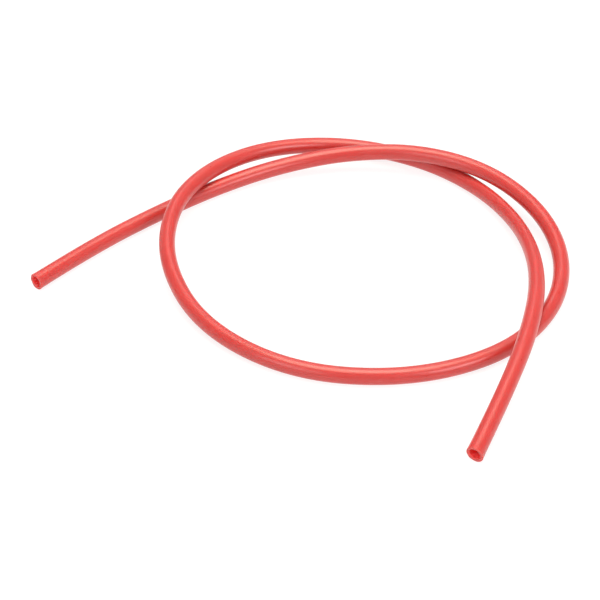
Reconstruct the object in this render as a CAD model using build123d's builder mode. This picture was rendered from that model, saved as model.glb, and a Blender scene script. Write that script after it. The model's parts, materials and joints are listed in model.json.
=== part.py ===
from build123d import *
from math import pi, radians, tan
import os

# One length of thin-walled rubber tubing, open right through, lying on a table.
# It is laid in a loose overhand loop, so it crosses over itself three times.
# Millimetres, +Z up. The table is Z = 0, and the origin is below the middle of the loop.

bore_diameter = 6.0
wall = 1.5
crossing_gap = 0.3
bend_share = 0.45

outer_diameter = bore_diameter + 2 * wall
resting_height = outer_diameter / 2
climb = outer_diameter + crossing_gap

# The corners of the tube's route, from its left end to its near end: x, y and lift.
# A lift of 0 lies on the table, and a lift of 1 lies on a strand that is on the table.
route = [
    (-141.3, 3.8, 0.0),
    (-114, 35, 0.0),
    (-77.5, 68.5, 0.0),
    (-43, 95, 0.0),
    (-9, 111, 0.25),
    (28, 118, 0.65),
    (68, 114, 1.0),
    (106, 95, 1.0),
    (133, 60, 0.7),
    (142.5, 20, 0.25),
    (133, -21, 0.0),
    (103.5, -57.5, 0.0),
    (53, -77, 0.0),
    (-5, -71, 0.0),
    (-52, -35.5, 0.12),
    (-73.5, 16, 0.55),
    (-71, 62, 1.0),
    (-50.5, 98, 1.0),
    (-17, 123, 0.7),
    (26, 132, 0.25),
    (67.5, 120.5, 0.0),
    (98.5, 94, 0.0),
    (117.5, 60, 0.25),
    (125.5, 23, 0.65),
    (124.5, -16, 1.0),
    (115, -57, 1.0),
    (99, -99, 0.45),
    (84.3, -132.9, 0.0),
]

corners = [Vector(x, y, resting_height + lift * climb) for x, y, lift in route]
runs = [end - start for start, end in zip(corners, corners[1:])]


def bend_radius(run_in, run_out):
    """Radius of the bend between two runs, as wide as the shorter of them allows."""
    turn = radians(run_in.get_angle(run_out))
    return bend_share * min(run_in.length, run_out.length) / tan(turn / 2)


bend_radii = [bend_radius(run_in, run_out) for run_in, run_out in zip(runs, runs[1:])]

with BuildPart() as tubing:
    with BuildLine() as centre_line:
        FilletPolyline(*corners, radius=bend_radii)
    left_end = Plane(origin=centre_line.line @ 0, z_dir=centre_line.line % 0)
    with BuildSketch(left_end) as section:
        Circle(outer_diameter / 2)
        Circle(bore_diameter / 2, mode=Mode.SUBTRACT)
    sweep()

tubing.part.label = "tubing"

section_area = pi * (outer_diameter**2 - bore_diameter**2) / 4
length = sum(edge.length for edge in centre_line.edges())
print("bend radii in mm:", [round(radius) for radius in bend_radii])
print(f"length along the centre line: {length:.1f} mm")
print(f"volume: {tubing.part.volume:.0f} mm3, section times length: {section_area * length:.0f} mm3")

os.makedirs("parts", exist_ok=True)
export_step(tubing.part, "parts/tubing.step")
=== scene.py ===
import json
from math import cos, pi, radians, sin, tan

import bpy
import numpy as np
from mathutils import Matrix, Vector


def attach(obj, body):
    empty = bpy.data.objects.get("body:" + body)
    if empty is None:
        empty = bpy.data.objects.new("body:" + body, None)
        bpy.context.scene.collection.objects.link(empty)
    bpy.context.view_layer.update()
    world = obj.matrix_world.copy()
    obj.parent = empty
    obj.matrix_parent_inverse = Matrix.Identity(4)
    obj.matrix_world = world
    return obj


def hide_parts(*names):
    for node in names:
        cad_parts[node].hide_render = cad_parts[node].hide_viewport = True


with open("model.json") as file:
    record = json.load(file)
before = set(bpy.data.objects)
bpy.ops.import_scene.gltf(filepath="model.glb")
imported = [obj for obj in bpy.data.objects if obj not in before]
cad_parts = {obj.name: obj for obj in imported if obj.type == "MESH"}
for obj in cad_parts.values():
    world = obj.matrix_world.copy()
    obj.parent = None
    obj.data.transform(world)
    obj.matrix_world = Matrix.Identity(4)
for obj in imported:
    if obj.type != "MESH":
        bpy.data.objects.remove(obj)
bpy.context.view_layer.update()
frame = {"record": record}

# One length of thin-walled red rubber tubing, lying in a loose overhand loop on a pale table.
# Metres, +Z up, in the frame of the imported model. The table is Z = 0.

mounts = {mount["name"]: mount for mount in frame["record"]["mounts"]}
left_end = mounts["left_end_bore"]

BORE_RADIUS = left_end["dims"]["r_mm"] / 1000
WALL = 0.0015
OUTER_RADIUS = BORE_RADIUS + WALL
CROSSING_GAP = 0.0003
RESTING_HEIGHT = OUTER_RADIUS
CLIMB = 2 * OUTER_RADIUS + CROSSING_GAP

# The control points of the tube's line, from its left end to its near end: x, y and lift.
# A lift of 0 lies on the table, and a lift of 1 lies on a strand that is on the table.
ROUTE = [
    (-0.1411, 0.0040, 0.0),
    (-0.114, 0.035, 0.0),
    (-0.0775, 0.0685, 0.0),
    (-0.043, 0.095, 0.0),
    (-0.009, 0.111, 0.25),
    (0.028, 0.118, 0.65),
    (0.068, 0.114, 1.0),
    (0.106, 0.095, 1.0),
    (0.133, 0.060, 0.7),
    (0.1425, 0.020, 0.25),
    (0.133, -0.021, 0.0),
    (0.1035, -0.0575, 0.0),
    (0.053, -0.0767, 0.0),
    (-0.005, -0.0707, 0.0),
    (-0.0518, -0.0352, 0.12),
    (-0.0735, 0.016, 0.55),
    (-0.071, 0.062, 1.0),
    (-0.0505, 0.098, 1.0),
    (-0.017, 0.123, 0.7),
    (0.026, 0.132, 0.25),
    (0.0677, 0.1208, 0.0),
    (0.0987, 0.0944, 0.0),
    (0.1175, 0.060, 0.25),
    (0.1255, 0.023, 0.65),
    (0.1245, -0.016, 1.0),
    (0.115, -0.057, 1.0),
    (0.099, -0.099, 0.45),
    (0.0842, -0.1332, 0.0),
]
POINTS_PER_RUN = 24

# The mesh of the tube. Its rings lie closer together in a zone at each end.
POINTS_AROUND = 72
EDGE_ROUNDING = 0.0002
EDGE_STEPS = 4
FACE_STEPS = 6
END_ZONE = 0.008
END_STEP = 0.0004
OUTER_STEP = 0.0019
BORE_STEP = 0.004

# How much narrower than tall the tube has set, at shares of its length from the left end.
# A value under 0 is wider than tall, where the tube lies over the last crossing.
SET_SECTION = [
    (0.0, 0.05),
    (0.06, 0.055),
    (0.13, 0.015),
    (0.32, 0.035),
    (0.45, 0.045),
    (0.56, 0.04),
    (0.66, 0.03),
    (0.76, 0.07),
    (0.84, 0.12),
    (0.87, 0.08),
    (0.89, 0.035),
    (0.91, -0.02),
    (0.93, -0.02),
    (0.95, 0.025),
    (1.0, 0.01),
]

# Each cut leans to one side and is slightly wavy, and the tube widens a little towards it.
LEFT_LEAN = tan(radians(4))
NEAR_LEAN = tan(radians(-9.5))
FLARE = 0.00010
FLARE_DEPTH = 0.0012
SWELL = 0.00010
SWELL_DEPTH = 0.008
CUT_WAVE = 0.00006
CUT_WAVE_LENGTH = 0.0031
CUT_WAVE_SLANT = 0.4

# Colours as linear red, green and blue, and opacity.
RED = (0.54, 0.0455, 0.039, 1)
DEEPER_RED = (0.52, 0.0415, 0.035, 1)
PALER_RED = (0.55, 0.054, 0.0465, 1)
SPECK_RED = (0.465, 0.033, 0.028, 1)
CUT_RED = (0.545, 0.078, 0.068, 1)
# The bore's red is painted light: far paler than the rubber, it stands in for light that shines through
# the thin wall into the bore.
BORE_PAINTED_LIGHT_RED = (0.90, 0.126, 0.116, 1)
FLOOR_GREY = (0.22, 0.22, 0.22, 1)
WHITE = (1, 1, 1, 1)
COOL_WHITE = (0.95, 0.97, 1, 1)


def centre_line():
    """The points of the tube's line, read from a smooth spline that the route's points control."""
    curve = bpy.data.curves.new("route", "CURVE")
    curve.dimensions = "3D"
    spline = curve.splines.new("NURBS")
    spline.points.add(len(ROUTE) - 1)
    for point, (x, y, lift) in zip(spline.points, ROUTE):
        point.co = (x, y, RESTING_HEIGHT + lift * CLIMB, 1)
    spline.order_u = 3
    spline.use_endpoint_u = True
    spline.resolution_u = POINTS_PER_RUN
    carrier = bpy.data.objects.new("route", curve)
    mesh = bpy.data.meshes.new_from_object(carrier)
    points = np.array([vertex.co[:] for vertex in mesh.vertices])
    bpy.data.objects.remove(carrier)
    bpy.data.curves.remove(curve)
    bpy.data.meshes.remove(mesh)
    return points


def unit(vectors):
    return vectors / np.linalg.norm(vectors, axis=-1, keepdims=True)


def line_distances(points):
    """Distance along the line at each of its points, from the left end."""
    steps = np.linalg.norm(np.diff(points, axis=0), axis=1)
    return np.concatenate([[0], np.cumsum(steps)])


def interpolate(distance, distances, vectors):
    """Values of vectors at any array of distances along the line, with a last axis for x, y, z."""
    axes = [np.interp(distance, distances, vectors[:, axis]) for axis in range(3)]
    return np.stack(axes, axis=-1)


def spread(start, stop, step):
    """Evenly spaced values from start to stop, both included, about a step apart."""
    return np.linspace(start, stop, max(2, round(abs(stop - start) / step) + 1))


def wall_distances(length, step):
    """Distances of the rings of a wall from the left end: close together near both cut ends."""
    first, last = EDGE_ROUNDING, length - EDGE_ROUNDING
    left = spread(first, END_ZONE, END_STEP)
    middle = spread(END_ZONE, length - END_ZONE, step)
    right = spread(length - END_ZONE, last, END_STEP)
    return np.concatenate([left, middle[1:-1], right])


def cut_profile():
    """Depth below the cut face and radius of the rings from the outer wall round to the bore."""
    turn = np.linspace(0, pi / 2, EDGE_STEPS + 1)[1:]
    depth = EDGE_ROUNDING * (1 - np.sin(turn))
    outer = OUTER_RADIUS - EDGE_ROUNDING * (1 - np.cos(turn))
    inner = BORE_RADIUS + EDGE_ROUNDING * (1 - np.cos(turn))
    face = np.linspace(outer[-1], inner[-1], FACE_STEPS + 1)[1:-1]
    depths = np.concatenate([depth, np.zeros(len(face)), depth[::-1]])
    return depths, np.concatenate([outer, face, inner[::-1]])


def tube_rings(length):
    """Distance, radius, share of cut face and share of bore for every ring, as columns.

    The rings go along the outer wall, over the near cut, back along the bore and over the left cut.
    """
    outer = wall_distances(length, OUTER_STEP)
    bore = wall_distances(length, BORE_STEP)[::-1]
    depths, radii = cut_profile()
    at_outer = np.full(len(outer), OUTER_RADIUS)
    at_bore = np.full(len(bore), BORE_RADIUS)
    distances = np.concatenate([outer, length - depths, bore, depths[::-1]])
    radius = np.concatenate([at_outer, radii, at_bore, radii[::-1]])
    counts = [len(outer), len(depths), len(bore), len(depths)]
    cut_share = np.repeat([0.0, 1.0, 0.0, 1.0], counts)
    bore_share = np.repeat([0.0, 0.0, 1.0, 0.0], counts)
    return [values[:, None] for values in (distances, radius, cut_share, bore_share)]


def section(distance, length, radius):
    """Where each point of each ring lies across and upward from the line, slightly oval."""
    angle = np.arange(POINTS_AROUND) * 2 * pi / POINTS_AROUND
    to_end = np.minimum(distance, length - distance)
    radius = radius + FLARE * np.exp(-to_end / FLARE_DEPTH) + SWELL * np.exp(-to_end / SWELL_DEPTH)
    shares, squeezes = zip(*SET_SECTION)
    squeeze = np.interp(distance / length, shares, squeezes)
    return radius * np.cos(angle) * (1 - squeeze), radius * np.sin(angle)


def cut_relief(across, upward, lean):
    """How far a cut face stands out: it leans, and the blade has left slow waves in it."""
    wave = np.sin(2 * pi * (upward + CUT_WAVE_SLANT * across) / CUT_WAVE_LENGTH)
    return lean * across + CUT_WAVE * wave


def along_line(distance, length, across, upward):
    """Distance of each point from the left end, with each end zone stretched to meet its cut."""
    to_end = np.minimum(distance, length - distance)
    end_share = np.clip(1 - to_end / END_ZONE, 0, 1) ** 2
    left = -cut_relief(across, upward, LEFT_LEAN)
    near = cut_relief(across, upward, NEAR_LEAN)
    return distance + end_share * np.where(distance < length / 2, left, near)


def places(points, across, upward, along):
    """The section's points set out along the line, none of them below the table."""
    distances = line_distances(points)
    tangents = unit(np.gradient(points, distances, axis=0))
    sides = unit(np.cross(tangents, (0, 0, 1)))
    lifts = np.cross(sides, tangents)

    held = np.clip(along, 0, distances[-1])
    centre = interpolate(held, distances, points)
    tangent = interpolate(held, distances, tangents)
    side = interpolate(held, distances, sides)
    lift = interpolate(held, distances, lifts)
    found = centre + (along - held)[..., None] * tangent
    found += across[..., None] * side + upward[..., None] * lift
    found[..., 2] = found[..., 2].clip(min=0)
    return found


def closed_grid(rings):
    """Faces between neighbouring rings, closed round each ring and from the last to the first."""
    index = np.arange(rings * POINTS_AROUND).reshape(rings, POINTS_AROUND)
    beside = np.roll(index, -1, axis=1)
    after = np.roll(index, -1, axis=0)
    corners = [index, beside, np.roll(beside, -1, axis=0), after]
    return np.stack(corners, axis=-1).reshape(-1, 4)


def tube_mesh(points):
    """The tube as one closed mesh: outer wall, bore and both cut faces, swept along the points.

    Three attributes serve the material: each point's place on the tube if it were laid out
    straight, and its share of cut face and of bore.
    """
    length = line_distances(points)[-1]
    distance, radius, cut, bore = tube_rings(length)
    across, upward = section(distance, length, radius)
    along = along_line(distance, length, across, upward)

    vertices = places(points, across, upward, along).reshape(-1, 3)
    mesh = bpy.data.meshes.new("tubing")
    mesh.from_pydata(vertices.tolist(), [], closed_grid(len(distance)).tolist())
    mesh.shade_smooth()

    straight = np.stack([across, upward, along], axis=-1)
    attribute = mesh.attributes.new("straight", "FLOAT_VECTOR", "POINT")
    attribute.data.foreach_set("vector", straight.ravel())
    for name, share in (("cut", cut), ("bore", bore)):
        attribute = mesh.attributes.new(name, "FLOAT", "POINT")
        attribute.data.foreach_set("value", np.repeat(share, POINTS_AROUND))
    mesh.update()
    return mesh


class Shading:
    """The nodes of one material, made and linked by short calls."""

    def __init__(self, name):
        self.material = bpy.data.materials.new(name)
        self.material.use_nodes = True
        self.tree = self.material.node_tree
        self.shader = self.tree.nodes["Principled BSDF"]

    def put(self, socket, value):
        if isinstance(value, bpy.types.NodeSocket):
            self.tree.links.new(value, socket)
        else:
            socket.default_value = value

    def node(self, kind, inputs=(), **settings):
        made = self.tree.nodes.new("ShaderNode" + kind)
        for name, value in settings.items():
            setattr(made, name, value)
        for name, value in dict(inputs).items():
            self.put(made.inputs[name], value)
        return made

    def attribute(self, name, output):
        return self.node("Attribute", attribute_name=name).outputs[output]

    def stretch(self, vector, factors):
        return self.node("VectorMath", {0: vector, 1: factors}, operation="MULTIPLY").outputs[0]

    def noise(self, vector, scale, detail, roughness=0.5):
        inputs = {"Vector": vector, "Scale": scale, "Detail": detail, "Roughness": roughness}
        return self.node("TexNoise", inputs).outputs["Fac"]

    def span(self, value, low, high, to_low=0.0, to_high=1.0):
        inputs = {
            "Value": value,
            "From Min": low,
            "From Max": high,
            "To Min": to_low,
            "To Max": to_high,
        }
        return self.node("MapRange", inputs, clamp=True).outputs[0]

    def blend(self, share, first, second):
        """A mix of two colours. The node's sockets of one name are told apart by their places."""
        made = self.node("Mix", {0: share, 6: first, 7: second}, data_type="RGBA")
        return made.outputs[2]

    def math(self, operation, *values):
        return self.node("Math", dict(enumerate(values)), operation=operation).outputs[0]

    def bump(self, height, distance, strength, normal=None):
        inputs = {"Height": height, "Distance": distance, "Strength": strength}
        if normal is not None:
            inputs["Normal"] = normal
        return self.node("Bump", inputs).outputs[0]

    def surface(self, **inputs):
        """Sets the shader's inputs, with _ for a space in a name, and returns the material."""
        for name, value in inputs.items():
            self.put(self.shader.inputs[name.replace("_", " ")], value)
        return self.material


def rubber():
    """Red rubber: cloudy, faintly streaked along the tube and finely speckled, with paler matt cuts,
    and a bore painted paler as painted light shining through the wall.
    """
    shading = Shading("red_rubber")
    straight = shading.attribute("straight", "Vector")
    cut = shading.attribute("cut", "Fac")
    lengthwise = shading.stretch(straight, (1.0, 1.0, 0.03))

    cloud = shading.noise(straight, scale=150, detail=4, roughness=0.6)
    streak = shading.noise(lengthwise, scale=1300, detail=3, roughness=0.55)
    grain = shading.noise(straight, scale=4200, detail=2)
    speck = shading.noise(straight, scale=2000, detail=1)

    streak_share = shading.span(streak, low=0.5, high=0.75, to_high=0.4)
    speck_share = shading.span(speck, low=0.58, high=0.74, to_high=0.5)
    colour = shading.blend(shading.span(cloud, low=0.35, high=0.65), DEEPER_RED, RED)
    colour = shading.blend(streak_share, colour, PALER_RED)
    colour = shading.blend(speck_share, colour, SPECK_RED)
    colour = shading.blend(cut, colour, CUT_RED)
    # Painted light: the bore is coloured paler to stand in for light that shines through the wall into
    # it.
    colour = shading.blend(shading.attribute("bore", "Fac"), colour, BORE_PAINTED_LIGHT_RED)

    blade_marks = shading.noise(shading.stretch(straight, (1.0, 0.08, 1.0)), scale=2600, detail=2)
    marks_on_cut = shading.math("MULTIPLY", blade_marks, cut)
    relief = shading.bump(grain, distance=0.000005, strength=0.5)
    relief = shading.bump(streak, distance=0.000012, strength=0.4, normal=relief)
    relief = shading.bump(marks_on_cut, distance=0.00006, strength=0.8, normal=relief)

    roughness = shading.span(cloud, low=0.3, high=0.7, to_low=0.28, to_high=0.31)
    streak_roughness = shading.span(streak, low=0.35, high=0.65, to_low=-0.01, to_high=0.02)
    roughness = shading.math("ADD", roughness, streak_roughness)
    roughness = shading.math("ADD", roughness, shading.math("MULTIPLY", cut, 0.3))
    return shading.surface(
        Base_Color=colour,
        Roughness=roughness,
        Normal=relief,
        IOR=1.55,
        Subsurface_Weight=0.8,
        Subsurface_Radius=(1.0, 0.15, 0.12),
        Subsurface_Scale=0.003,
    )


def pale_floor():
    """A large pale table top, which glows so that shadows on it stay faint."""
    half = 8.0
    corners = [(-half, -half, 0), (half, -half, 0), (half, half, 0), (-half, half, 0)]
    mesh = bpy.data.meshes.new("table_top")
    mesh.from_pydata(corners, [], [(0, 1, 2, 3)])
    material = Shading("table_top").surface(
        Base_Color=FLOOR_GREY,
        Roughness=0.9,
        Emission_Color=WHITE,
        Emission_Strength=0.82,
    )
    mesh.materials.append(material)
    floor = bpy.data.objects.new("table_top", mesh)
    bpy.context.scene.collection.objects.link(floor)


def direction(azimuth, elevation):
    """A unit vector from angles in degrees: azimuth 0 points at the viewer, 90 to their right."""
    around, above = radians(azimuth), radians(elevation)
    return Vector((sin(around) * cos(above), -cos(around) * cos(above), sin(above)))


def softbox(name, azimuth, elevation, away, width, height, radiance, colour=(1, 1, 1)):
    """A rectangular light of even brightness that faces the middle of the loop."""
    lamp = bpy.data.lights.new(name, "AREA")
    lamp.shape = "RECTANGLE"
    lamp.size = width
    lamp.size_y = height
    lamp.energy = radiance * pi * width * height
    lamp.color = colour
    towards = direction(azimuth, elevation)
    light = bpy.data.objects.new(name, lamp)
    light.location = away * towards
    light.rotation_mode = "QUATERNION"
    light.rotation_quaternion = (-towards).to_track_quat("-Z", "Y")
    bpy.context.scene.collection.objects.link(light)


def studio():
    """A warm softbox overhead, a dim one behind, one at each side of the viewer, and an even fill."""
    warm = (1.0, 0.96, 0.77)
    softbox("overhead_softbox", 170, 83, away=2.4, width=1.9, height=1.9, radiance=5.2, colour=warm)
    softbox("back_softbox", 178, 56, away=2.4, width=1.0, height=2.6, radiance=1.1)
    softbox("right_softbox", 46, 29, away=2.3, width=1.15, height=1.0, radiance=5.6)
    softbox("left_softbox", -42, 29, away=2.3, width=1.15, height=1.3, radiance=2.7)
    world = bpy.data.worlds.new("studio")
    world.use_nodes = True
    background = world.node_tree.nodes["Background"]
    background.inputs["Color"].default_value = COOL_WHITE
    background.inputs["Strength"].default_value = 0.5
    bpy.context.scene.world = world
    bpy.context.scene.view_settings.view_transform = "Standard"


def camera():
    """The camera at the photograph's viewing angle."""
    away = 1.1479
    target = Vector((-0.00031, -0.01198, 0.0047))
    towards = direction(azimuth=0, elevation=38)
    data = bpy.data.cameras.new("camera")
    data.lens = 130.55
    data.sensor_width = 36
    data.clip_start = 0.05
    data.clip_end = 50
    eye = bpy.data.objects.new("camera", data)
    eye.location = target + away * towards
    eye.rotation_mode = "QUATERNION"
    eye.rotation_quaternion = (-towards).to_track_quat("-Z", "Y")
    bpy.context.scene.collection.objects.link(eye)
    bpy.context.scene.camera = eye


line = centre_line()
tubing = bpy.data.objects.new("rubber_tubing", tube_mesh(line))
bpy.context.scene.collection.objects.link(tubing)
tubing.data.materials.append(rubber())
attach(tubing, "root")
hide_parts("tubing")

pale_floor()
studio()
camera()
